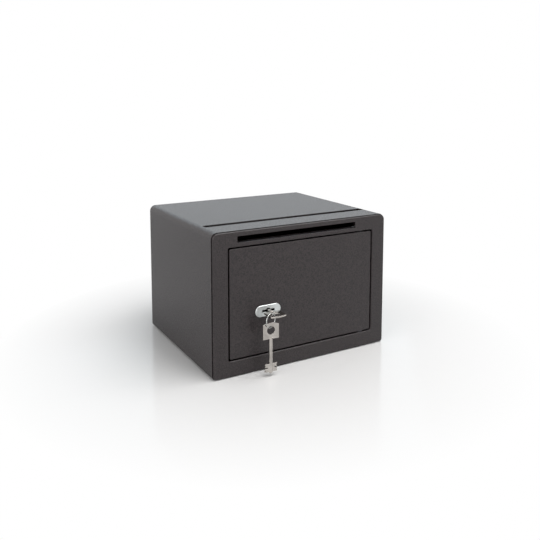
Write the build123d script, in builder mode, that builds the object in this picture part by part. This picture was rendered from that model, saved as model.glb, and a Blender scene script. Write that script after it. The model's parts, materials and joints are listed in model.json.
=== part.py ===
"""Front-opening deposit safe with a double-bit key lock, 350 x 245 x 295 mm.

Own frame: origin at the middle of the base, +X to the right seen from the front,
+Y to the back, +Z up. Drawn with the door shut, the bolts drawn back and the key in.
"""
import os
from math import cos, radians, sin, sqrt

from build123d import *

os.makedirs("parts", exist_ok=True)

# Body shell
width = 350.0
height = 245.0
depth = 295.0
wall = 2.0
edge_radius = 11.0
floor_edge_radius = 6.0
front_y = -depth / 2
back_y = depth / 2

# Front frame
face_t = 2.5
face_edge_fillet = 2.0
face_inset = 1.0
seam = 2.0
skirt_t = 1.5
skirt_depth = 12.0
jamb_t = 2.0
jamb_depth = 18.0
side_margin = 28.5
bottom_margin = 27.4
top_margin = 27.0
aperture_corner = 3.0
face_back_y = front_y + face_t
skirt_back_y = face_back_y + skirt_depth
jamb_back_y = front_y + jamb_depth
casing_front_y = face_back_y + seam
aperture_w = width - 2 * side_margin
aperture_h = height - bottom_margin - top_margin
aperture_z0 = bottom_margin
aperture_z1 = height - top_margin
aperture_mid_z = (aperture_z0 + aperture_z1) / 2

# Deposit slots in the front frame and in the roof
front_slot_w = 237.0
front_slot_h = 10.8
front_slot_x = -11.0
front_slot_drop = 14.4
front_slot_z = height - front_slot_drop
top_slot_w = 14.0
top_slot_setback = 57.0
top_slot_y = front_y + top_slot_setback
roof_flat_half = width / 2 - edge_radius
chute_t = 1.5
chute_half = roof_flat_half - chute_t
chute_depth = 86.0
chute_end_y = front_y + chute_depth
ramp_tab = 6.0
ramp_drop = 14.0
ramp_lip = 6.0
deflector_setback = 10.0
deflector_y = top_slot_y + top_slot_w / 2 + deflector_setback
deflector_flange = 14.0
deflector_drop = 19.0
tooth_pitch = 13.0
tooth_h = 6.0
tooth_root = 1.0
roof_z = height - wall

# Anchor holes in the floor and the back
anchor_r = 5.0
floor_anchor_x = 230.0
floor_anchor_y = 170.0
back_anchor_x = 200.0
back_anchor_z = 110.0

# Door
door_gap = 2.4
door_recess = 1.0
door_t = 4.0
door_corner = 2.2
door_edge_fillet = 1.2
door_w = aperture_w - 2 * door_gap
door_h = aperture_h - 2 * door_gap
door_y0 = front_y + door_recess
door_y1 = door_y0 + door_t
door_x0 = -door_w / 2
door_x1 = door_w / 2
door_z0 = aperture_z0 + door_gap
door_z1 = aperture_z1 - door_gap

# Hinge
pin_r = 4.0
pin_running = 0.05
pin_door_clearance = 0.3
pivot_inset = 19.0
hinge_block_w = 16.0
hinge_block_d = 11.0
hinge_block_h = 18.0
hinge_plate_w = 36.0
hinge_plate_t = 4.0
washer_rim = 3.0
hinge_plate_chamfer = 3.0
hinge_block_chamfer = 2.0
pin_chamfer = 0.8
jamb_hole_play = 0.5
washer_play = 0.1
pivot_x = door_x1 - pivot_inset
pivot_y = door_y1 + pin_door_clearance + pin_r

# Key and keyhole
key_setback = 71.4
key_rise = 75.6
key_x = door_x0 + key_setback
key_z = aperture_z0 + key_rise
key_t = 2.6
key_length = 86.0
bow_w = 29.0
bow_hole_r = 7.0
bow_apex = 12.5
bow_side = 9.6
bow_rear = 15.0
shaft_r = 3.2
bit_clearance = 0.3
bit_run = 2.0
bit_radii = (11.2, 9.9, 10.8, 6.4, 11.2, 10.2, 11.2)
bit_r = max(bit_radii)
tip_run = 2.4
tip_play = 0.2
tip_chamfer = 0.8
shaft_root = 2.0
keyhole_play = 1.0
keyhole_w = 2 * (bit_r + keyhole_play)
keyhole_round_play = 1.4
keyhole_h = key_t + keyhole_round_play
keyhole_r = shaft_r + keyhole_round_play
escutcheon_w = 48.4
escutcheon_h = 19.5
escutcheon_t = 1.8
escutcheon_edge = 0.7
guide_tube_play = 1.5
guide_tube_t = 1.5

# Lock case, held off the door by four pillars
pillar_l = 24.0
pillar_r = 4.0
pillar_thread = 10.0
lock_wall = 1.5
lock_reach_left = 42.6
lock_reach_right = 26.7
lock_reach_down = 26.0
lock_reach_up = 34.0
lock_left = key_x - lock_reach_left
lock_right = key_x + lock_reach_right
lock_bottom = key_z - lock_reach_down
lock_top = key_z + lock_reach_up
lock_y0 = door_y1 + pillar_l
lever_gap = 0.3
lever_standoff = 1.0
lever_y0 = lock_y0 + lock_wall + lever_standoff
bits_in_y1 = lever_y0 - lever_gap / 2 + len(bit_radii) * bit_run
bearing_t = 3.2
bearing_play = 0.15
bearing_y0 = bits_in_y1 + bearing_play
disc_t = bearing_t
bearing_y1 = bearing_y0 + bearing_t
lock_bolt_t = 3.5
lock_bolt_play = 0.4
lock_bolt_y0 = bearing_y1 + lock_bolt_play
lock_bolt_y1 = lock_bolt_y0 + lock_bolt_t
lock_cover_play = 1.2
cover_y0 = lock_bolt_y1 + lock_cover_play
lock_screw_r = 2.0
screw_play = 0.1
screw_end_gap = 1.0
screw_hole_r = lock_screw_r + screw_play
bearing_screw_play = 0.2
screw_head_r = 3.6
screw_head_t = 2.6
lock_corner_inset = 5.5
mouth_play = 0.6

# Rotor that the key turns
drum_r = 5.6
drum_end_play = 0.1
shaft_play = 0.15
slot_side_play = 0.15
slot_overrun = 1.0
disc_r = 11.5
rotor_running = 0.05
crank_r = 8.0
crank_pin_r = 2.5
bolt_throw = 2 * crank_r
slot_play = 0.55

# Lock bolt with its stump, and the bolt bar
bolt_plate_below = 12.0
bolt_plate_above = 16.0
leaf_rim = 3.0
leaf_bulge_share = 0.235
leaf_foot_share = 0.6
leaf_middle_share = 0.6
leaf_head_share = 1.15
stump_r = 2.25
stump_slot_play = 0.3
stump_offset = -19.3
gate_play = 0.3
pocket_h = 4.5
pocket_play = 1.0
lever_arm_h = 20.0
lever_hub_r = 15.0
lever_neck_h = 11.0
lever_eye_r = 5.0
lever_end_rim = 3.2
lever_end_gap = 0.3
lever_eye_play = 0.1
spring_t = 0.5
spring_w = 1.4
spring_root = 2.0
spring_neck = 1.5
spring_reach = 20.0
spring_foot = 4.0
spring_offset = -14.0
spring_play = 0.3
bar_t = 6.0
bolt_jamb_gap = 1.2
bar_y0 = jamb_back_y + bolt_jamb_gap
bar_y1 = lock_bolt_y0
bar_lock_gap = 0.6
bar_x1 = lock_left - bar_lock_gap
bar_x0 = bar_x1 - bar_t
bar_half = 64.0
round_bolt_r = 9.0
round_bolt_spread = 112.0
round_bolt_y = bar_y0 + round_bolt_r
guide_t = 2.0
guide_running = 0.1
guide_foot = 16.0
guide_lip = 12.0
bar_screw_pitch = 16.0
bar_screw_rise = 2.0
bar_thread = 7.0
bar_head_r = 2.9
bar_head_t = 1.5
bar_end_gap = 1.0
guide_x0 = bar_x0 - bolt_throw - bar_end_gap - guide_t
guide_x1 = guide_x0 + guide_t
bolt_tip_reach = 0.5
bolt_tip_x = guide_x0 - bolt_tip_reach
spigot_r = 4.0
spigot_play = 0.05
bolt_chamfer = 1.5
rivet_r = 6.0
rivet_t = 2.0
rivet_chamfer = 0.7

# Inner cover of the door
cover_t = 1.5
cover_foot = 12.0
cover_hinge_gap = 5.1
cover_x1 = pivot_x - hinge_block_w / 2 - cover_hinge_gap - cover_foot
cover_rise = 12.0
cover_drop = 13.0
cover_headroom = 5.0
cover_z0 = door_z0 + cover_rise
cover_z1 = door_z1 - cover_drop
door_cover_y1 = cover_y0 + lock_wall + cover_headroom

# Key ring and spare key
ring_wire_r = 0.9
ring_r = 12.0
ring_yaw = 25.0
ring_pivot = 9.55
ring_drop = 8.3
spare_yaw = -4.0
spare_rim_play = 0.45


def face_plane(y):
    """Plane at depth y, looked at from the front: local x is right, local y is up."""
    return Plane.XZ.offset(-y)


def side_plane(x):
    """Plane at x, looked at from the right: local x is back, local y is up."""
    return Plane.YZ.offset(x)


def body_outline(inset, mode=Mode.ADD):
    """Outline of the body from the front, drawn in all round, with its tighter bends at the floor."""
    with BuildSketch(mode=Mode.PRIVATE) as outline:
        with Locations((0, height / 2)):
            Rectangle(width - 2 * inset, height - 2 * inset)
        fillet(outline.vertices().group_by(Axis.Y)[0], floor_edge_radius - inset)
        fillet(outline.vertices().group_by(Axis.Y)[-1], edge_radius - inset)
    add(outline.sketch, mode=mode)


# Casing: floor, sides and the bends into the roof in one wrap, open at both ends
with BuildPart() as casing:
    with BuildSketch(face_plane(casing_front_y)):
        body_outline(0)
        body_outline(wall, mode=Mode.SUBTRACT)
        with Locations((0, roof_z)):
            Rectangle(2 * roof_flat_half, wall, align=(Align.CENTER, Align.MIN), mode=Mode.SUBTRACT)
    extrude(amount=-(back_y - casing_front_y))
    with BuildSketch(Plane.XY):
        with GridLocations(floor_anchor_x, floor_anchor_y, 2, 2):
            Circle(anchor_r)
    extrude(amount=wall, mode=Mode.SUBTRACT)
casing.part.label = "casing"
export_step(casing.part, "parts/casing.step")

# Roof: a strip behind the front and a panel to the back, which leave the deposit slot between them
slot_front_y = top_slot_y - top_slot_w / 2
slot_back_y = top_slot_y + top_slot_w / 2
roof_sheets = (
    (casing_front_y, slot_front_y, "roof_strip"),
    (slot_back_y, back_y, "roof_panel"),
)
for front_end, back_end, name in roof_sheets:
    with BuildPart() as roof_sheet:
        with BuildSketch(Plane.XY.offset(roof_z)):
            with Locations((0, front_end)):
                Rectangle(2 * roof_flat_half, back_end - front_end, align=(Align.CENTER, Align.MIN))
        extrude(amount=wall)
    roof_sheet.part.label = name
    export_step(roof_sheet.part, "parts/" + name + ".step")

# Back plate, let into the casing's rear end
with BuildPart() as back_plate:
    with BuildSketch(face_plane(back_y)):
        body_outline(wall)
        with Locations((0, back_anchor_z)):
            with GridLocations(back_anchor_x, 1, 2, 1):
                Circle(anchor_r, mode=Mode.SUBTRACT)
    extrude(amount=wall)
back_plate.part.label = "back_plate"
export_step(back_plate.part, "parts/back_plate.step")

# Front frame: face with rounded edges, let in from the casing, with a skirt and a jamb round the opening
with BuildPart() as front_frame:
    with BuildSketch(face_plane(front_y)):
        body_outline(face_inset)
        with Locations((0, aperture_mid_z)):
            RectangleRounded(aperture_w, aperture_h, aperture_corner, mode=Mode.SUBTRACT)
    extrude(amount=-face_t)
    fillet(front_frame.faces().sort_by(Axis.Y)[0].edges(), face_edge_fillet)
    with BuildSketch(face_plane(face_back_y)):
        body_outline(wall)
        body_outline(wall + skirt_t, mode=Mode.SUBTRACT)
    extrude(amount=-skirt_depth)
    with BuildSketch(face_plane(face_back_y)):
        with Locations((0, aperture_mid_z)):
            jamb_r = aperture_corner + jamb_t
            RectangleRounded(aperture_w + 2 * jamb_t, aperture_h + 2 * jamb_t, jamb_r)
            RectangleRounded(aperture_w, aperture_h, aperture_corner, mode=Mode.SUBTRACT)
    extrude(amount=-(jamb_back_y - face_back_y))
    with BuildSketch(face_plane(front_y)):
        with Locations((front_slot_x, front_slot_z)):
            Rectangle(front_slot_w, front_slot_h)
    extrude(amount=-face_t, mode=Mode.SUBTRACT)
    with BuildSketch(Plane.XY.offset(aperture_z0 - jamb_t)):
        with Locations((pivot_x, pivot_y)):
            Circle(pin_r + jamb_hole_play)
    extrude(amount=aperture_h + 2 * jamb_t, mode=Mode.SUBTRACT)
front_frame.part.label = "front_frame"
export_step(front_frame.part, "parts/front_frame.step")

# Hinge plates, welded behind the jamb above and below the opening
hinge_plate_d = jamb_back_y - face_back_y
hinge_plate_y = (jamb_back_y + face_back_y) / 2
with BuildPart() as upper_hinge_plate:
    with BuildSketch(Plane.XY.offset(aperture_z1 + jamb_t)):
        with Locations((pivot_x, hinge_plate_y)):
            Rectangle(hinge_plate_w, hinge_plate_d)
        with Locations((pivot_x, pivot_y)):
            Circle(pin_r + pin_running, mode=Mode.SUBTRACT)
    extrude(amount=hinge_plate_t)
    chamfer(upper_hinge_plate.edges().filter_by(Axis.Z).sort_by(Axis.Y)[-2:], hinge_plate_chamfer)
upper_hinge_plate.part.label = "upper_hinge_plate"
export_step(upper_hinge_plate.part, "parts/upper_hinge_plate.step")

with BuildPart() as lower_hinge_plate:
    with BuildSketch(Plane.XY.offset(aperture_z0 - jamb_t)):
        with Locations((pivot_x, hinge_plate_y)):
            Rectangle(hinge_plate_w, hinge_plate_d)
        with Locations((pivot_x, pivot_y)):
            Circle(pin_r + pin_running, mode=Mode.SUBTRACT)
    extrude(amount=-hinge_plate_t)
    chamfer(lower_hinge_plate.edges().filter_by(Axis.Z).sort_by(Axis.Y)[-2:], hinge_plate_chamfer)
lower_hinge_plate.part.label = "lower_hinge_plate"
export_step(lower_hinge_plate.part, "parts/lower_hinge_plate.step")

# Deposit chute: a ramp from the jamb, a toothed deflector under the roof and two cheeks
ramp_top_z = aperture_z1 + jamb_t
ramp_end_z = ramp_top_z - ramp_drop
with BuildPart() as chute_ramp:
    with BuildSketch(side_plane(-chute_half)):
        with BuildLine():
            Polyline(
                (jamb_back_y, ramp_top_z),
                (jamb_back_y + ramp_tab, ramp_top_z),
                (chute_end_y, ramp_end_z),
                (chute_end_y, ramp_end_z - ramp_lip),
            )
            offset(amount=chute_t, side=Side.RIGHT, kind=Kind.INTERSECTION)
        make_face()
    extrude(amount=2 * chute_half)
chute_ramp.part.label = "chute_ramp"
export_step(chute_ramp.part, "parts/chute_ramp.step")

with BuildPart() as chute_deflector:
    with BuildSketch(Plane.XY.offset(roof_z)):
        with Locations((0, deflector_y)):
            Rectangle(2 * chute_half, deflector_flange, align=(Align.CENTER, Align.MIN))
    extrude(amount=-chute_t)
    with BuildSketch(face_plane(deflector_y)):
        with Locations((0, roof_z)):
            Rectangle(2 * chute_half, deflector_drop, align=(Align.CENTER, Align.MAX))
        tooth_count = int(2 * chute_half / tooth_pitch)
        with Locations((0, roof_z - deflector_drop)):
            with GridLocations(tooth_pitch, 1, tooth_count, 1):
                half_tooth = (tooth_pitch - tooth_root) / 2
                Polygon((-half_tooth, 0), (0, -tooth_h), (half_tooth, 0), align=None)
    extrude(amount=-chute_t)
chute_deflector.part.label = "chute_deflector"
export_step(chute_deflector.part, "parts/chute_deflector.step")

for side, name in ((-1, "chute_cheek_left"), (1, "chute_cheek_right")):
    with BuildPart() as cheek:
        with BuildSketch(side_plane(side * chute_half)):
            Polygon(
                (skirt_back_y, ramp_top_z - chute_t),
                (chute_end_y, ramp_end_z - ramp_lip),
                (chute_end_y, roof_z),
                (skirt_back_y, roof_z),
                align=None,
            )
        extrude(amount=side * chute_t)
    cheek.part.label = name
    export_step(cheek.part, "parts/" + name + ".step")

# Door panel with its keyhole
with BuildPart() as door_panel:
    with BuildSketch(face_plane(door_y0)):
        with Locations((0, aperture_mid_z)):
            RectangleRounded(door_w, door_h, door_corner)
    extrude(amount=-door_t)
    fillet(door_panel.faces().sort_by(Axis.Y)[0].edges(), door_edge_fillet)
    with BuildSketch(face_plane(door_y0)):
        with Locations((key_x, key_z)):
            Rectangle(keyhole_w, keyhole_h)
            Circle(keyhole_r)
    extrude(amount=-door_t, mode=Mode.SUBTRACT)
door_panel.part.label = "door_panel"
export_step(door_panel.part, "parts/door_panel.step")

# Hinge blocks on the back of the door, with their pins and the washer that carries the door
hinge_block_y = door_y1 + hinge_block_d / 2
with BuildPart() as upper_hinge_block:
    with BuildSketch(Plane.XY.offset(door_z1)):
        with Locations((pivot_x, hinge_block_y)):
            Rectangle(hinge_block_w, hinge_block_d)
        with Locations((pivot_x, pivot_y)):
            Circle(pin_r, mode=Mode.SUBTRACT)
    extrude(amount=-hinge_block_h)
    chamfer(upper_hinge_block.edges().filter_by(Axis.Z).sort_by(Axis.Y)[-2:], hinge_block_chamfer)
upper_hinge_block.part.label = "upper_hinge_block"
export_step(upper_hinge_block.part, "parts/upper_hinge_block.step")

with BuildPart() as lower_hinge_block:
    with BuildSketch(Plane.XY.offset(door_z0)):
        with Locations((pivot_x, hinge_block_y)):
            Rectangle(hinge_block_w, hinge_block_d)
        with Locations((pivot_x, pivot_y)):
            Circle(pin_r, mode=Mode.SUBTRACT)
    extrude(amount=hinge_block_h)
    chamfer(lower_hinge_block.edges().filter_by(Axis.Z).sort_by(Axis.Y)[-2:], hinge_block_chamfer)
lower_hinge_block.part.label = "lower_hinge_block"
export_step(lower_hinge_block.part, "parts/lower_hinge_block.step")

pin_length = hinge_block_h + door_gap + jamb_t + hinge_plate_t
with BuildPart() as upper_hinge_pin:
    with BuildSketch(Plane.XY.offset(door_z1 - hinge_block_h)):
        with Locations((pivot_x, pivot_y)):
            Circle(pin_r)
    extrude(amount=pin_length)
    chamfer(upper_hinge_pin.edges().sort_by(Axis.Z)[-1], pin_chamfer)
upper_hinge_pin.part.label = "upper_hinge_pin"
export_step(upper_hinge_pin.part, "parts/upper_hinge_pin.step")

with BuildPart() as lower_hinge_pin:
    with BuildSketch(Plane.XY.offset(door_z0 + hinge_block_h)):
        with Locations((pivot_x, pivot_y)):
            Circle(pin_r)
    extrude(amount=-pin_length)
    chamfer(lower_hinge_pin.edges().sort_by(Axis.Z)[0], pin_chamfer)
lower_hinge_pin.part.label = "lower_hinge_pin"
export_step(lower_hinge_pin.part, "parts/lower_hinge_pin.step")

with BuildPart() as hinge_washer:
    with BuildSketch(Plane.XY.offset(aperture_z0 + washer_play)):
        with Locations((pivot_x, pivot_y)):
            Circle(pin_r + washer_rim)
            Circle(pin_r, mode=Mode.SUBTRACT)
    extrude(amount=door_gap - washer_play)
hinge_washer.part.label = "hinge_washer"
export_step(hinge_washer.part, "parts/hinge_washer.step")

# Escutcheon round the keyhole
with BuildPart() as escutcheon:
    with BuildSketch(face_plane(door_y0)):
        with Locations((key_x, key_z)):
            SlotOverall(escutcheon_w, escutcheon_h)
    extrude(amount=escutcheon_t)
    chamfer(escutcheon.faces().sort_by(Axis.Y)[0].edges(), escutcheon_edge)
    with BuildSketch(face_plane(door_y0)):
        with Locations((key_x, key_z)):
            Rectangle(keyhole_w, keyhole_h)
            Circle(keyhole_r)
    extrude(amount=escutcheon_t, mode=Mode.SUBTRACT)
escutcheon.part.label = "escutcheon"
export_step(escutcheon.part, "parts/escutcheon.step")

# Key guide: flat tube that leads the bits from the door to the lock
with BuildPart() as key_guide:
    with BuildSketch(face_plane(door_y1)):
        with Locations((key_x, key_z)):
            tube_w = keyhole_w + 2 * guide_tube_play
            tube_h = 2 * (shaft_r + guide_tube_play)
            SlotOverall(tube_w + 2 * guide_tube_t, tube_h + 2 * guide_tube_t)
            SlotOverall(tube_w, tube_h, mode=Mode.SUBTRACT)
    extrude(amount=-pillar_l)
key_guide.part.label = "key_guide"
export_step(key_guide.part, "parts/key_guide.step")

# Lock case: open pan with the keyhole in its front and a mouth for the lock bolt on the left
lock_w = lock_right - lock_left
lock_h = lock_top - lock_bottom
lock_mid = ((lock_left + lock_right) / 2, (lock_bottom + lock_top) / 2)
screw_pitch_x = lock_w - 2 * lock_corner_inset
screw_pitch_z = lock_h - 2 * lock_corner_inset
bolt_plate_z0 = key_z - bolt_plate_below
bolt_plate_z1 = key_z + bolt_plate_above
with BuildPart() as lock_case:
    with BuildSketch(face_plane(lock_y0)):
        with Locations(lock_mid):
            Rectangle(lock_w, lock_h)
    extrude(amount=-(cover_y0 - lock_y0))
    with BuildSketch(face_plane(lock_y0 + lock_wall)):
        with Locations(lock_mid):
            Rectangle(lock_w - 2 * lock_wall, lock_h - 2 * lock_wall)
    extrude(amount=-(cover_y0 - lock_y0 - lock_wall), mode=Mode.SUBTRACT)
    with BuildSketch(face_plane(lock_y0)):
        with Locations((key_x, key_z)):
            Rectangle(keyhole_w, keyhole_h)
            Circle(drum_r + rotor_running)
        with Locations(lock_mid):
            with GridLocations(screw_pitch_x, screw_pitch_z, 2, 2):
                Circle(screw_hole_r)
    extrude(amount=-lock_wall, mode=Mode.SUBTRACT)
    with BuildSketch(side_plane(lock_left)):
        with Locations(((lock_bolt_y0 + cover_y0) / 2, (bolt_plate_z0 + bolt_plate_z1) / 2)):
            Rectangle(cover_y0 - lock_bolt_y0 + mouth_play, bolt_plate_z1 - bolt_plate_z0 + mouth_play)
    extrude(amount=lock_wall, mode=Mode.SUBTRACT)
lock_case.part.label = "lock_case"
export_step(lock_case.part, "parts/lock_case.step")

with BuildPart() as lock_cover:
    with BuildSketch(face_plane(cover_y0)):
        with Locations(lock_mid):
            Rectangle(lock_w, lock_h)
            with GridLocations(screw_pitch_x, screw_pitch_z, 2, 2):
                Circle(screw_hole_r, mode=Mode.SUBTRACT)
    extrude(amount=-lock_wall)
lock_cover.part.label = "lock_cover"
export_step(lock_cover.part, "parts/lock_cover.step")

# Pillars between door and lock, and the four long screws that clamp the lock to them
with BuildPart() as lock_pillars:
    with BuildSketch(face_plane(door_y1)):
        with Locations(lock_mid):
            with GridLocations(screw_pitch_x, screw_pitch_z, 2, 2):
                Circle(pillar_r)
    extrude(amount=-pillar_l)
    with BuildSketch(face_plane(lock_y0)):
        with Locations(lock_mid):
            with GridLocations(screw_pitch_x, screw_pitch_z, 2, 2):
                Circle(screw_hole_r)
    extrude(amount=pillar_thread, mode=Mode.SUBTRACT)
lock_pillars.part.label = "lock_pillars"
export_step(lock_pillars.part, "parts/lock_pillars.step")

with BuildPart() as lock_screws:
    with BuildSketch(face_plane(cover_y0 + lock_wall)):
        with Locations(lock_mid):
            with GridLocations(screw_pitch_x, screw_pitch_z, 2, 2):
                Circle(screw_head_r)
    extrude(amount=-screw_head_t)
    with BuildSketch(face_plane(cover_y0 + lock_wall)):
        with Locations(lock_mid):
            with GridLocations(screw_pitch_x, screw_pitch_z, 2, 2):
                Circle(lock_screw_r)
    extrude(amount=cover_y0 + lock_wall - lock_y0 + pillar_thread - screw_end_gap)
lock_screws.part.label = "lock_screws"
export_step(lock_screws.part, "parts/lock_screws.step")

# Bearing plate that the rotor's disc turns in, with its corners cut away for the screws
stump_x = key_x + stump_offset
bearing_corner = 2 * (lock_corner_inset - lock_wall) + sqrt(2) * (screw_hole_r + bearing_screw_play)
with BuildPart() as bearing_plate:
    with BuildSketch(face_plane(bearing_y0)) as bearing_outline:
        with Locations(lock_mid):
            Rectangle(lock_w - 2 * lock_wall, lock_h - 2 * lock_wall)
        chamfer(bearing_outline.vertices(), bearing_corner)
        with Locations((key_x, key_z)):
            Circle(disc_r + rotor_running, mode=Mode.SUBTRACT)
        with Locations((stump_x - bolt_throw / 2, key_z)):
            SlotOverall(
                bolt_throw + 2 * (stump_r + 2 * stump_slot_play),
                2 * (stump_r + stump_slot_play),
                mode=Mode.SUBTRACT,
            )
    extrude(amount=-bearing_t)
bearing_plate.part.label = "bearing_plate"
export_step(bearing_plate.part, "parts/bearing_plate.step")

# Levers: each has a window cut to the reach of its own bit step, and a gate for the stump
post_r = 3.0
post_x = lock_right - lock_wall - lever_eye_r - lever_end_gap
lever_t = bit_run - lever_gap
arm_left = stump_x - bolt_throw - stump_r - lever_end_rim
spring_x = key_x + spring_offset
for index, reach in enumerate(bit_radii):
    with BuildPart() as lever:
        with BuildSketch(face_plane(lever_y0 + index * bit_run)):
            with Locations(((arm_left + key_x) / 2, key_z)):
                Rectangle(key_x - arm_left, lever_arm_h)
            with Locations((key_x, key_z)):
                Circle(lever_hub_r)
            with Locations((key_x, key_z)):
                Rectangle(post_x + lever_eye_r - key_x, lever_neck_h, align=(Align.MIN, Align.CENTER))
            with Locations((post_x, key_z)):
                Circle(post_r + lever_eye_play, mode=Mode.SUBTRACT)
            with Locations((spring_x, key_z + lever_arm_h / 2)):
                Rectangle(spring_t, spring_root, align=(Align.MIN, Align.MAX), mode=Mode.SUBTRACT)
            with Locations((key_x, key_z)):
                Circle(max(reach, drum_r) + bit_clearance, mode=Mode.SUBTRACT)
                Rectangle(keyhole_w, keyhole_h, mode=Mode.SUBTRACT)
            for pocket_x in (stump_x, stump_x - bolt_throw):
                with Locations((pocket_x, key_z)):
                    Rectangle(2 * (stump_r + pocket_play), 2 * pocket_h, mode=Mode.SUBTRACT)
            with Locations((stump_x - bolt_throw / 2, key_z)):
                Rectangle(bolt_throw, 2 * (stump_r + gate_play), mode=Mode.SUBTRACT)
        extrude(amount=-lever_t)
    lever.part.label = f"lever_{index + 1}"
    export_step(lever.part, f"parts/lever_{index + 1}.step")

# Lever springs: a bent leaf stands in each lever's top edge and bears on the roof of the case
spring_seat_z = lock_top - lock_wall - spring_play
with BuildPart() as lever_springs:
    for index in range(len(bit_radii)):
        with BuildSketch(face_plane(lever_y0 + index * bit_run + (lever_t - spring_w) / 2)):
            with BuildLine():
                Polyline(
                    (spring_x, key_z + lever_arm_h / 2 - spring_root),
                    (spring_x, key_z + lever_arm_h / 2 + spring_neck),
                    (spring_x + spring_reach, spring_seat_z),
                    (spring_x + spring_reach + spring_foot, spring_seat_z),
                )
                offset(amount=spring_t, side=Side.RIGHT, kind=Kind.INTERSECTION)
            make_face()
        extrude(amount=-spring_w)
lever_springs.part.label = "lever_springs"
export_step(lever_springs.part, "parts/lever_springs.step")

with BuildPart() as lever_post:
    with BuildSketch(face_plane(lock_y0 + lock_wall)):
        with Locations((post_x, key_z)):
            Circle(post_r)
    extrude(amount=-(bearing_y0 - lock_y0 - lock_wall))
lever_post.part.label = "lever_post"
export_step(lever_post.part, "parts/lever_post.step")

# Rotor: slotted drum for the key, a disc in the bearing plate and the crank pin
with BuildPart() as key_rotor:
    with BuildSketch(face_plane(lock_y0 + drum_end_play)):
        with Locations((key_x, key_z)):
            Circle(drum_r)
    extrude(amount=-(bearing_y0 - lock_y0 - drum_end_play))
    with BuildSketch(face_plane(bearing_y0)):
        with Locations((key_x, key_z)):
            Circle(disc_r)
    extrude(amount=-disc_t)
    with BuildSketch(face_plane(bearing_y1)):
        with Locations((key_x + crank_r, key_z)):
            Circle(crank_pin_r)
    extrude(amount=-(lock_bolt_y1 - bearing_y1))
    with BuildSketch(face_plane(lock_y0)):
        with Locations((key_x, key_z)):
            Circle(shaft_r + shaft_play)
            Rectangle(2 * (drum_r + slot_overrun), key_t + 2 * slot_side_play)
    extrude(amount=-(bearing_y0 - lock_y0), mode=Mode.SUBTRACT)
    with BuildSketch(face_plane(bearing_y0)):
        with Locations((key_x, key_z)):
            Circle(shaft_r + shaft_play)
    extrude(amount=-(tip_run + tip_play), mode=Mode.SUBTRACT)
key_rotor.part.label = "key_rotor"
export_step(key_rotor.part, "parts/key_rotor.step")

# Lock bolt: plate with a leaf-shaped slot for the crank pin, and the stump that the levers hold
leaf_x = key_x + crank_r
leaf_half = crank_pin_r + slot_play
leaf_bulge = leaf_bulge_share * crank_r
bolt_plate_x1 = leaf_x + leaf_half + leaf_bulge + leaf_rim
with BuildPart() as lock_bolt:
    with BuildSketch(face_plane(lock_bolt_y0)):
        with Locations(((bar_x0 + bolt_plate_x1) / 2, (bolt_plate_z0 + bolt_plate_z1) / 2)):
            Rectangle(bolt_plate_x1 - bar_x0, bolt_plate_z1 - bolt_plate_z0)
        with BuildLine():
            leaf_low = key_z - leaf_foot_share * crank_pin_r
            leaf_high = key_z + leaf_head_share * crank_r
            leaf_mid = key_z + leaf_middle_share * crank_r
            left = (leaf_x - leaf_half, leaf_low)
            right = (leaf_x + leaf_half, leaf_low)
            top_left = (leaf_x - leaf_half, leaf_high)
            top_right = (leaf_x + leaf_half, leaf_high)
            ThreePointArc(left, (leaf_x - leaf_half - leaf_bulge, leaf_mid), top_left)
            ThreePointArc(top_left, (leaf_x, key_z + crank_r + leaf_half), top_right)
            ThreePointArc(top_right, (leaf_x + leaf_half + leaf_bulge, leaf_mid), right)
            ThreePointArc(right, (leaf_x, key_z - leaf_half), left)
        make_face(mode=Mode.SUBTRACT)
        with Locations(((bar_x0 + bar_x1) / 2, key_z + bar_screw_rise)):
            with GridLocations(1, bar_screw_pitch, 1, 2):
                Circle(screw_hole_r, mode=Mode.SUBTRACT)
    extrude(amount=-lock_bolt_t)
    with BuildSketch(face_plane(lock_bolt_y0)):
        with Locations((stump_x, key_z)):
            Circle(stump_r)
    extrude(amount=lock_bolt_y0 - lever_y0)
lock_bolt.part.label = "lock_bolt"
export_step(lock_bolt.part, "parts/lock_bolt.step")

# Bolt bar with two round bolts and the screws that join it to the lock bolt
bolt_zs = (aperture_mid_z - round_bolt_spread / 2, aperture_mid_z + round_bolt_spread / 2)
with BuildPart() as bolt_bar:
    with BuildSketch(side_plane(bar_x0)):
        with Locations(((bar_y0 + bar_y1) / 2, aperture_mid_z)):
            Rectangle(bar_y1 - bar_y0, 2 * bar_half)
        with Locations(*[(round_bolt_y, bolt_z) for bolt_z in bolt_zs]):
            Circle(spigot_r + spigot_play, mode=Mode.SUBTRACT)
    extrude(amount=bar_t)
    with BuildSketch(face_plane(bar_y1)):
        with Locations(((bar_x0 + bar_x1) / 2, key_z + bar_screw_rise)):
            with GridLocations(1, bar_screw_pitch, 1, 2):
                Circle(screw_hole_r)
    extrude(amount=bar_thread + screw_end_gap, mode=Mode.SUBTRACT)
bolt_bar.part.label = "bolt_bar"
export_step(bolt_bar.part, "parts/bolt_bar.step")

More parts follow.
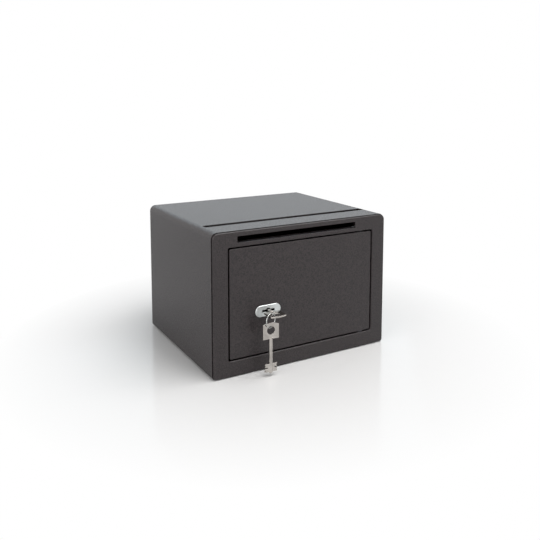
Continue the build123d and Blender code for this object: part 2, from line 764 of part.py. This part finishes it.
for bolt_z, name in zip(bolt_zs, ("lower_bolt", "upper_bolt")):
    with BuildPart() as round_bolt:
        with BuildSketch(side_plane(bar_x0)):
            with Locations((round_bolt_y, bolt_z)):
                Circle(round_bolt_r)
        extrude(amount=bolt_tip_x - bar_x0)
        chamfer(round_bolt.edges().sort_by(Axis.X)[0], bolt_chamfer)
        with BuildSketch(side_plane(bar_x0)):
            with Locations((round_bolt_y, bolt_z)):
                Circle(spigot_r)
        extrude(amount=bar_t)
        with BuildSketch(side_plane(bar_x1)):
            with Locations((round_bolt_y, bolt_z)):
                Circle(rivet_r)
        extrude(amount=rivet_t)
        chamfer(round_bolt.edges().sort_by(Axis.X)[-1], rivet_chamfer)
    round_bolt.part.label = name
    export_step(round_bolt.part, "parts/" + name + ".step")

with BuildPart() as bar_screws:
    with BuildSketch(face_plane(lock_bolt_y1)):
        with Locations(((bar_x0 + bar_x1) / 2, key_z + bar_screw_rise)):
            with GridLocations(1, bar_screw_pitch, 1, 2):
                Circle(bar_head_r)
    extrude(amount=-bar_head_t)
    with BuildSketch(face_plane(lock_bolt_y1)):
        with Locations(((bar_x0 + bar_x1) / 2, key_z + bar_screw_rise)):
            with GridLocations(1, bar_screw_pitch, 1, 2):
                Circle(lock_screw_r)
    extrude(amount=lock_bolt_t + bar_thread)
bar_screws.part.label = "bar_screws"
export_step(bar_screws.part, "parts/bar_screws.step")

# Bolt guide: bent bracket on the door whose web steadies the two round bolts
guide_z0 = cover_z0 + cover_t
guide_z1 = cover_z1 - cover_t
guide_depth = door_cover_y1 - cover_t - door_y1
with BuildPart() as bolt_guide:
    with BuildSketch(Plane.XY.offset(guide_z0)):
        with BuildLine():
            Polyline(
                (guide_x0 + guide_foot, door_y1),
                (guide_x0, door_y1),
                (guide_x0, door_y1 + guide_depth),
                (guide_x0 + guide_lip, door_y1 + guide_depth),
            )
            offset(amount=guide_t, side=Side.RIGHT, kind=Kind.INTERSECTION)
        make_face()
    extrude(amount=guide_z1 - guide_z0)
    with BuildSketch(side_plane(guide_x0)):
        with Locations(*[(round_bolt_y, bolt_z) for bolt_z in bolt_zs]):
            Circle(round_bolt_r + guide_running)
    extrude(amount=guide_t, mode=Mode.SUBTRACT)
bolt_guide.part.label = "bolt_guide"
export_step(bolt_guide.part, "parts/bolt_guide.step")

# Inner cover of the door: pan over the lock and the bolt work, open towards the bolt guide
cover_w = cover_x1 - guide_x1
cover_h = cover_z1 - cover_z0
cover_mid = ((cover_x1 + guide_x1) / 2, (cover_z0 + cover_z1) / 2)
with BuildPart() as door_cover:
    with BuildSketch(face_plane(door_y1)):
        with Locations(cover_mid):
            Rectangle(cover_w, cover_h)
    extrude(amount=-(door_cover_y1 - door_y1))
    with BuildSketch(face_plane(door_y1)):
        with Locations((cover_mid[0] - cover_t / 2, cover_mid[1])):
            Rectangle(cover_w - cover_t, cover_h - 2 * cover_t)
    extrude(amount=-(door_cover_y1 - cover_t - door_y1), mode=Mode.SUBTRACT)
    with BuildSketch(face_plane(door_y1)):
        with Locations((cover_x1, cover_mid[1])):
            Rectangle(cover_foot, cover_h, align=(Align.MIN, Align.CENTER))
    extrude(amount=-cover_t)
door_cover.part.label = "door_cover"
export_step(door_cover.part, "parts/door_cover.step")


def build_key(place):
    """Double-bit key in the plane place: origin in the bow's hole, local y towards the tip."""
    tip_y = key_length - bow_apex
    bits_y1 = tip_y - tip_run
    bits_y0 = bits_y1 - len(bit_radii) * bit_run
    half = bow_w / 2
    with BuildPart() as blank:
        with BuildSketch(place):
            with BuildLine():
                ThreePointArc((-half, -bow_side), (0, -bow_apex), (half, -bow_side))
                Line((half, -bow_side), (half, bow_rear))
                Line((half, bow_rear), (-half, bow_rear))
                Line((-half, bow_rear), (-half, -bow_side))
            make_face()
        extrude(amount=key_t / 2, both=True)
        with BuildSketch(place):
            Circle(bow_hole_r)
        extrude(amount=key_t, both=True, mode=Mode.SUBTRACT)
        shaft_plane = Plane(place.from_local_coords((0, bow_rear - shaft_root, 0)), place.x_dir, place.y_dir)
        with BuildSketch(shaft_plane):
            Circle(shaft_r)
        extrude(amount=tip_y - bow_rear + shaft_root)
        chamfer(blank.edges().filter_by(GeomType.CIRCLE).sort_by_distance(
            place.from_local_coords((0, tip_y, 0)))[0], tip_chamfer)
        with BuildSketch(place):
            for step, reach in enumerate(reversed(bit_radii)):
                with Locations((0, bits_y1 - (step + 0.5) * bit_run)):
                    Rectangle(2 * reach, bit_run)
        extrude(amount=key_t / 2, both=True)
    return blank


# Key in the lock, with its bow level
hole_y = bits_in_y1 + tip_run - (key_length - bow_apex)
key = build_key(Plane((key_x, hole_y, key_z), (1, 0, 0), (0, 0, 1)))
key.part.label = "key"
export_step(key.part, "parts/key.step")

# Ring through the bow, hanging round its left rim
ring_dir = Vector(-cos(radians(ring_yaw)), -sin(radians(ring_yaw)), 0)
ring_center = Vector(key_x - ring_pivot, hole_y, key_z - ring_drop)
with BuildPart() as key_ring:
    with BuildSketch(Plane(ring_center + ring_dir * ring_r, x_dir=ring_dir, z_dir=(0, 0, 1))):
        RegularPolygon(ring_wire_r, 8)
    revolve(axis=Axis(ring_center, ring_dir.cross(Vector(0, 0, 1))))
key_ring.part.label = "key_ring"
export_step(key_ring.part, "parts/key_ring.step")

# Spare key, hanging face-on from the bottom of the ring
wire_slant = radians(ring_yaw - spare_yaw)
wire_side_run = (key_t / 2 + ring_wire_r) / sin(wire_slant)
hole_sag = bow_hole_r - sqrt(bow_hole_r**2 - wire_side_run**2)
spare_hole_z = ring_center.Z - ring_r + ring_wire_r + hole_sag + spare_rim_play - bow_hole_r
spare_across = (cos(radians(spare_yaw)), sin(radians(spare_yaw)), 0)
spare_normal = (-sin(radians(spare_yaw)), cos(radians(spare_yaw)), 0)
spare_key = build_key(Plane((ring_center.X, ring_center.Y, spare_hole_z), spare_across, spare_normal))
spare_key.part.label = "spare_key"
export_step(spare_key.part, "parts/spare_key.step")
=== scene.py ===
import json
import math

import bmesh
import bpy
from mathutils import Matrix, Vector


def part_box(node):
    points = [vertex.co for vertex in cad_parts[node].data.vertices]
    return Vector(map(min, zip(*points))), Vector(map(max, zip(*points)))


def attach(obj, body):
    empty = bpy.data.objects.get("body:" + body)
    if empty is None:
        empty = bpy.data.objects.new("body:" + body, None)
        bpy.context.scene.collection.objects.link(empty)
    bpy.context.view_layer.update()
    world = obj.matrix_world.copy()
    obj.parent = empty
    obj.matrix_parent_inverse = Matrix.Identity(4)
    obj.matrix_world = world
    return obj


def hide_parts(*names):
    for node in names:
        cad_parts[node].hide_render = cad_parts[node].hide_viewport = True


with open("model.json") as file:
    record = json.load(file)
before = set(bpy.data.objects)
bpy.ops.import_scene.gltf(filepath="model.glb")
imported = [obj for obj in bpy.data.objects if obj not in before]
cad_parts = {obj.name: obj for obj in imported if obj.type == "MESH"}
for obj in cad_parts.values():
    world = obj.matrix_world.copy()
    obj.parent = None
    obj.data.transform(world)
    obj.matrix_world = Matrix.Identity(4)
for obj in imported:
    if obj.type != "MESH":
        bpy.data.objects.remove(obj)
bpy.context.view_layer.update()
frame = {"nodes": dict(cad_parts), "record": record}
nodes = frame["nodes"]

# Viewpoint of the photograph, fitted to the straight edges of the safe: metres, radians, and millimetres of film
CAMERA_PLACE = Vector((-0.5881, -1.0637, 0.4697))
CAMERA_YAW = 0.5154
CAMERA_PITCH = 0.1095
CAMERA_LENS = 42.93
CAMERA_FILM = 36.0
CAMERA_SHIFT_Y = -0.20

# Room: even light on matt surfaces, and for gloss white walls that darken towards the ceiling between two heights
AMBIENT = 0.16
CEILING = 0.30
CEILING_RISE = (0.42, 0.80)
WHITE = (1.0, 1.0, 1.0, 1.0)

# Softboxes: name, place, width and height in metres, watts and colour, all turned to one point of the safe
COOL = (0.70, 0.90, 1.0)
NEUTRAL = (1.0, 0.99, 0.98)
SOFTBOXES = (
    ("overhead", (0.40, -0.65, 1.65), (1.8, 0.9), 31.0, NEUTRAL),
    ("behind", (0.6, 1.6, 1.3), (2.2, 1.2), 7.0, COOL),
    ("side", (-1.9, -0.6, 1.0), (1.6, 1.2), 17.0, NEUTRAL),
)
LIT_POINT = Vector((0.0, 0.0, 0.12))

# Floor: a pale polished board just under the base. It fades to white between two distances from the middle,
# nearer as the camera sees it than as gloss mirrors it
FLOOR_SIZE = 24.0
FLOOR_DROP = 0.0003
FLOOR_COLOUR = (0.75, 0.75, 0.75)
FLOOR_SHADES = (1.0, 1.02)
FLOOR_GRAIN = 40.0
FLOOR_ROUGH = (0.126, 0.154)
FLOOR_IOR = 1.30
SEEN_FADE = (0.20, 0.50)
MIRRORED_FADE = (0.90, 2.40)

# Powder coat: clumps of 2.5 mm, pebbles of about 1 mm in them, and finer sand.
# Each is noise of a scale and roughness, with a bump of a strength and height
PAINT_COLOUR = (0.0218, 0.0163, 0.0174)
COAT_GRAINS = ((400.0, 0.60, 0.40, 0.0006), (900.0, 0.50, 0.55, 0.0004), (1600.0, 0.50, 0.25, 0.0001))
# Range of grain height, and paint colour factors at its low and high ends: painted shade in the hollows and a
# painted highlight on the high points
COAT_LIT_TOPS = (0.17, 0.32)
COAT_SHADE_AND_HIGHLIGHT = (0.40, 1.75)
COAT_CLUMPS = (0.36, 0.64)
COAT_ROUGH = (0.30, 0.50)
COAT_IOR = 1.52

# Worked metals: linear colour, roughness, stretch and scale of the drawn lines, and how far the colour varies
STEEL_COLOUR = (0.52, 0.52, 0.51)
METALS = {
    "bright_steel": (STEEL_COLOUR, 0.28, (1.0, 8.0, 1.0), 400.0, 0.12),
    "zinc_steel": ((0.44, 0.45, 0.47), 0.40, (6.0, 1.0, 1.0), 400.0, 0.12),
    "lock_brass": ((0.55, 0.40, 0.17), 0.33, (6.0, 1.0, 1.0), 400.0, 0.12),
    "satin_plate": ((0.66, 0.69, 0.69), 0.42, (1.0, 1.0, 12.0), 700.0, 0.06),
    "key_nickel": ((0.46, 0.435, 0.41), 0.17, (12.0, 1.0, 1.0), 700.0, 0.18),
    # Near-black steel for parts seen in the door gap and the keyhole: painted shade
    "painted_shade_steel": ((0.10, 0.10, 0.11), 0.40, (1.0, 1.0, 6.0), 400.0, 0.12),
    "ring_wire": (STEEL_COLOUR, 0.16, (1.0, 1.0, 1.0), 400.0, 0.12),
}
# Hinge pins and washer, which show in the door gap, and the key guide inside the keyhole, made near black so that
# gap and keyhole read dark: painted shade
GAP_SHADE_NODES = ("upper_hinge_pin", "lower_hinge_pin", "hinge_washer", "key_guide")
METAL_DETAIL = 4.0
STAIN_SCALE = 60.0
STAIN_SPREAD = (0.30, 0.70)
LINE_SPREAD = (0.25, 0.75)
LINE_ROUGH = (0.70, 1.35)
LINE_BUMP = (0.12, 0.0001)

# Rounded edges by node, in metres. Corners this near are joined first, and faces that turn less than so many
# degrees are merged, so that only an edge that turns more than the sharp angle is rounded
ROUNDINGS = {"key": 0.0004, "spare_key": 0.0004, "escutcheon": 0.0002, "door_panel": 0.0007, "front_frame": 0.0007}
WELD_REACH = 0.000005
FLAT_BELOW = 0.5
SHARP_FROM = 35.0
BEVEL_STEPS = 2

# Button-head screws of the door cover: (radius, height) rings up to the socket, its half width and its floor
SCREW_RINGS = ((0.0036, 0.0), (0.0036, 0.0003), (0.0033, 0.0010), (0.0026, 0.0015), (0.0018, 0.0017))
SCREW_SOCKET = 0.00125
SCREW_FLOOR = 0.0006
SCREW_SIDES = 24
SCREW_INSET = 0.009

# Key ring: its wire, and where its cut ends meet
WIRE_RADIUS = 0.0009
WIRE_SIDES = 16
RING_STEPS = 96
RING_CUT = math.pi / 4
RING_GAP = 0.0004


def shades(colour, factors):
    """Linear RGBA of colour made lighter or darker by each factor."""
    return [tuple(min(1.0, part * factor) for part in colour) + (1.0,) for factor in factors]


class Graph:
    """Short way to write a material's node tree."""

    def __init__(self, name):
        self.material = bpy.data.materials.new(name)
        self.material.use_nodes = True
        self.tree = self.material.node_tree
        self.tree.nodes.clear()
        self.output = self.add("ShaderNodeOutputMaterial")

    def add(self, kind):
        return self.tree.nodes.new(kind)

    def link(self, source, target):
        self.tree.links.new(source, target)

    def place(self, stretch=None):
        """Coordinates in metres, the same on every piece, stretched along an axis if asked."""
        place = self.add("ShaderNodeTexCoord").outputs["Object"]
        if not stretch:
            return place
        mapping = self.add("ShaderNodeMapping")
        mapping.inputs["Scale"].default_value = stretch
        self.link(place, mapping.inputs["Vector"])
        return mapping.outputs["Vector"]

    def noise(self, scale, detail=2.0, rough=0.5, stretch=None):
        node = self.add("ShaderNodeTexNoise")
        node.inputs["Scale"].default_value = scale
        node.inputs["Detail"].default_value = detail
        node.inputs["Roughness"].default_value = rough
        self.link(self.place(stretch), node.inputs["Vector"])
        return node.outputs["Fac"]

    def spread(self, value, given, wanted=(0.0, 1.0)):
        """Value moved from the given range to the wanted one, and held inside it."""
        node = self.add("ShaderNodeMapRange")
        self.link(value, node.inputs["Value"])
        for name, number in zip(("From Min", "From Max", "To Min", "To Max"), (*given, *wanted)):
            node.inputs[name].default_value = number
        return node.outputs["Result"]

    def math(self, operation, first, second):
        node = self.add("ShaderNodeMath")
        node.operation = operation
        self.link(first, node.inputs[0])
        self.link(second, node.inputs[1])
        return node.outputs["Value"]

    def blend(self, factor, first, second):
        node = self.add("ShaderNodeMix")
        node.data_type = "RGBA"
        self.link(factor, node.inputs["Factor"])
        node.inputs["A"].default_value = first
        node.inputs["B"].default_value = second
        return node.outputs["Result"]

    def bump(self, height, strength, distance, under=None):
        node = self.add("ShaderNodeBump")
        node.inputs["Strength"].default_value = strength
        node.inputs["Distance"].default_value = distance
        self.link(height, node.inputs["Height"])
        if under:
            self.link(under, node.inputs["Normal"])
        return node.outputs["Normal"]

    def finish(self, surface):
        self.link(surface, self.output.inputs["Surface"])
        return self.material


def powder_coat(name):
    """Fine textured powder coat: each grain bumps the one under it, and the paint colour is lighter on the high
    points and darker in the hollows: painted highlight and painted shade on the grain.
    """
    graph = Graph(name)
    shader = graph.add("ShaderNodeBsdfPrincipled")
    grains = []
    normal = None
    for scale, rough, strength, height in COAT_GRAINS:
        grains.append(graph.noise(scale, rough=rough))
        normal = graph.bump(grains[-1], strength, height, under=normal)
    clumps, pebbles = grains[:2]
    # Lighter on the high points of the grain and darker in its hollows: painted highlight and painted shade
    lit_grain_tops = graph.spread(graph.math("MULTIPLY", pebbles, clumps), COAT_LIT_TOPS)
    graph.link(graph.blend(lit_grain_tops, *shades(PAINT_COLOUR, COAT_SHADE_AND_HIGHLIGHT)), shader.inputs["Base Color"])
    graph.link(graph.spread(clumps, COAT_CLUMPS, COAT_ROUGH), shader.inputs["Roughness"])
    graph.link(normal, shader.inputs["Normal"])
    shader.inputs["IOR"].default_value = COAT_IOR
    return graph.finish(shader.outputs["BSDF"])


def metal(name):
    """Worked metal: fine drawn lines along one direction and small differences in gloss."""
    colour, rough, stretch, grain, wear = METALS[name]
    graph = Graph(name)
    shader = graph.add("ShaderNodeBsdfPrincipled")
    lines = graph.noise(grain, detail=METAL_DETAIL, stretch=stretch)
    stain = graph.spread(graph.noise(STAIN_SCALE, detail=METAL_DETAIL), STAIN_SPREAD)
    graph.link(graph.blend(stain, *shades(colour, (1 - wear, 1 + wear))), shader.inputs["Base Color"])
    gloss = [rough * factor for factor in LINE_ROUGH]
    graph.link(graph.spread(lines, LINE_SPREAD, gloss), shader.inputs["Roughness"])
    graph.link(graph.bump(lines, *LINE_BUMP), shader.inputs["Normal"])
    shader.inputs["Metallic"].default_value = 1.0
    return graph.finish(shader.outputs["BSDF"])


def floor_finish(name):
    """Polished white board that mirrors the safe faintly and fades to white away from it."""
    graph = Graph(name)
    board = graph.add("ShaderNodeBsdfPrincipled")
    grain = graph.noise(FLOOR_GRAIN)
    graph.link(graph.blend(grain, *shades(FLOOR_COLOUR, FLOOR_SHADES)), board.inputs["Base Color"])
    graph.link(graph.spread(grain, STAIN_SPREAD, FLOOR_ROUGH), board.inputs["Roughness"])
    board.inputs["IOR"].default_value = FLOOR_IOR
    glow = graph.add("ShaderNodeEmission")
    glow.inputs["Color"].default_value = WHITE
    away = graph.add("ShaderNodeVectorMath")
    away.operation = "LENGTH"
    graph.link(graph.place(), away.inputs[0])
    rays = graph.add("ShaderNodeLightPath")
    shares = []
    for fade, ray in ((SEEN_FADE, "Is Camera Ray"), (MIRRORED_FADE, "Is Glossy Ray")):
        shares.append(graph.math("MULTIPLY", graph.spread(away.outputs["Value"], fade), rays.outputs[ray]))
    mix = graph.add("ShaderNodeMixShader")
    graph.link(graph.math("ADD", *shares), mix.inputs["Fac"])
    graph.link(board.outputs["BSDF"], mix.inputs[1])
    graph.link(glow.outputs["Emission"], mix.inputs[2])
    return graph.finish(mix.outputs["Shader"])


def add_object(name, data):
    made = bpy.data.objects.new(name, data)
    bpy.context.scene.collection.objects.link(made)
    return made


def loft(name, loops, material):
    """Closed skin through loops of as many points each, with a cap at both ends."""
    mesh = bmesh.new()
    rings = [[mesh.verts.new(point) for point in loop] for loop in loops]
    for first, second in zip(rings, rings[1:]):
        for side in range(len(first)):
            other = (side + 1) % len(first)
            mesh.faces.new((first[side], first[other], second[other], second[side]))
    mesh.faces.new(rings[0])
    mesh.faces.new(rings[-1])
    bmesh.ops.recalc_face_normals(mesh, faces=mesh.faces)
    data = bpy.data.meshes.new(name)
    mesh.to_mesh(data)
    mesh.free()
    data.materials.append(material)
    return add_object(name, data)


def dress(names, material):
    for name in names:
        data = nodes[name].data
        data.materials.clear()
        data.materials.append(material)


def by_slot(slot):
    return [part["node"] for part in frame["record"]["subparts"] if part["material_slot"] == slot]


def build_materials():
    for slot in ("body_paint", "door_paint"):
        dress(by_slot(slot), powder_coat(slot))
    for slot in ("bright_steel", "zinc_steel", "lock_brass", "satin_plate", "key_nickel"):
        dress(by_slot(slot), metal(slot))
    # Parts in the door gap and the keyhole made near black: painted shade
    dress(GAP_SHADE_NODES, metal("painted_shade_steel"))


def round_edges():
    """Small rounding on a piece's sharp edges, where tumbling or paint takes the corner off."""
    for name, width in ROUNDINGS.items():
        modifiers = nodes[name].modifiers
        modifiers.new("joined", "WELD").merge_threshold = WELD_REACH
        flat = modifiers.new("flat", "DECIMATE")
        flat.decimate_type = "DISSOLVE"
        flat.angle_limit = math.radians(FLAT_BELOW)
        bevel = modifiers.new("rounded", "BEVEL")
        bevel.width = width
        bevel.segments = BEVEL_STEPS
        bevel.use_clamp_overlap = False
        bevel.limit_method = "ANGLE"
        bevel.angle_limit = math.radians(SHARP_FROM)
        modifiers.new("even", "WEIGHTED_NORMAL")


def build_ring():
    """Bent wire ring, with its cut ends meeting at the upper right, on the side of the door."""
    low, high = (Vector(corner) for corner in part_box("key_ring"))
    centre = (low + high) / 2
    radius = (high.z - low.z) / 2 - WIRE_RADIUS
    along = Vector((high.x - low.x, high.y - low.y, 0)) / 2 - Vector((WIRE_RADIUS, WIRE_RADIUS, 0))
    along.normalize()
    up = Vector((0, 0, 1))
    across = along.cross(up)
    gap = RING_GAP / radius
    turns = [math.tau * side / WIRE_SIDES for side in range(WIRE_SIDES)]
    loops = []
    for step in range(RING_STEPS + 1):
        angle = RING_CUT + gap / 2 + (math.tau - gap) * step / RING_STEPS
        outward = along * math.cos(angle) + up * math.sin(angle)
        middle = centre + outward * radius
        loops.append([middle + (outward * math.cos(turn) + across * math.sin(turn)) * WIRE_RADIUS for turn in turns])
    ring = loft("wire_ring", loops, metal("ring_wire"))
    for face in ring.data.polygons:
        face.use_smooth = face.loop_total == 4
    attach(ring, "ring")
    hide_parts("key_ring")


def build_screws():
    """Socket screws that hold the pan over the lock to the door, one near each corner of its back."""
    low, high = (Vector(corner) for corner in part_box("door_cover"))
    finish = nodes["lock_screws"].data.materials[0]
    turns = [math.tau * side / SCREW_SIDES for side in range(SCREW_SIDES)]
    socket = [SCREW_SOCKET / math.cos(turn % (math.pi / 3) - math.pi / 6) for turn in turns]
    outlines = [([radius] * SCREW_SIDES, height) for radius, height in SCREW_RINGS]
    outlines += [(socket, SCREW_RINGS[-1][1]), (socket, SCREW_FLOOR)]
    rows = (low.z + SCREW_INSET, high.z - SCREW_INSET)
    columns = (low.x + SCREW_INSET, high.x - SCREW_INSET)
    for number, (z, x) in enumerate([(z, x) for z in rows for x in columns], start=1):
        loops = []
        for radii, height in outlines:
            corners = zip(radii, turns)
            loops.append([(x + r * math.cos(t), high.y + height, z + r * math.sin(t)) for r, t in corners])
        screw = loft(f"cover_screw_{number}", loops, finish)
        screw.data.shade_smooth()
        screw.modifiers.new("even", "WEIGHTED_NORMAL").keep_sharp = True
        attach(screw, "door")


def build_floor():
    half = FLOOR_SIZE / 2
    data = bpy.data.meshes.new("floor")
    corners = [(x, y, -FLOOR_DROP) for x, y in ((-half, -half), (half, -half), (half, half), (-half, half))]
    data.from_pydata(corners, [], [(0, 1, 2, 3)])
    data.materials.append(floor_finish("floor"))
    add_object("floor", data)


def build_world():
    """White to the camera; to gloss, white walls under a dimmer ceiling; and even, weaker light for the rest."""
    world = bpy.data.worlds.new("studio")
    bpy.context.scene.world = world
    world.use_nodes = True
    tree = world.node_tree
    tree.nodes.clear()

    def background(level):
        node = tree.nodes.new("ShaderNodeBackground")
        node.inputs["Color"].default_value = WHITE
        node.inputs["Strength"].default_value = level
        return node.outputs["Background"]

    def mix(factor, first, second):
        node = tree.nodes.new("ShaderNodeMixShader")
        tree.links.new(factor, node.inputs["Fac"])
        tree.links.new(first, node.inputs[1])
        tree.links.new(second, node.inputs[2])
        return node.outputs["Shader"]

    rays = tree.nodes.new("ShaderNodeLightPath")
    split = tree.nodes.new("ShaderNodeSeparateXYZ")
    tree.links.new(tree.nodes.new("ShaderNodeTexCoord").outputs["Generated"], split.inputs["Vector"])
    rise = tree.nodes.new("ShaderNodeMapRange")
    rise.interpolation_type = "SMOOTHSTEP"
    tree.links.new(split.outputs["Z"], rise.inputs["Value"])
    rise.inputs["From Min"].default_value, rise.inputs["From Max"].default_value = CEILING_RISE
    wall = background(1.0)
    room = mix(rise.outputs["Result"], wall, background(CEILING))
    glossy = mix(rays.outputs["Is Glossy Ray"], background(AMBIENT), room)
    output = tree.nodes.new("ShaderNodeOutputWorld")
    tree.links.new(mix(rays.outputs["Is Camera Ray"], glossy, wall), output.inputs["Surface"])


def build_lights():
    for name, place, size, power, colour in SOFTBOXES:
        data = bpy.data.lights.new(name, "AREA")
        data.shape = "RECTANGLE"
        data.size, data.size_y = size
        data.energy = power
        data.color = colour
        lamp = add_object(name, data)
        lamp.location = place
        lamp.rotation_euler = (LIT_POINT - Vector(place)).to_track_quat("-Z", "Y").to_euler()


def build_camera():
    data = bpy.data.cameras.new("camera")
    data.lens = CAMERA_LENS
    data.sensor_width = CAMERA_FILM
    data.shift_y = CAMERA_SHIFT_Y
    camera = add_object("camera", data)
    camera.location = CAMERA_PLACE
    camera.rotation_euler = (math.pi / 2 - CAMERA_PITCH, 0.0, -CAMERA_YAW)
    bpy.context.scene.camera = camera


build_camera()
build_world()
build_floor()
build_lights()
build_materials()
build_ring()
build_screws()
round_edges()

bpy.context.scene.view_settings.view_transform = "Standard"
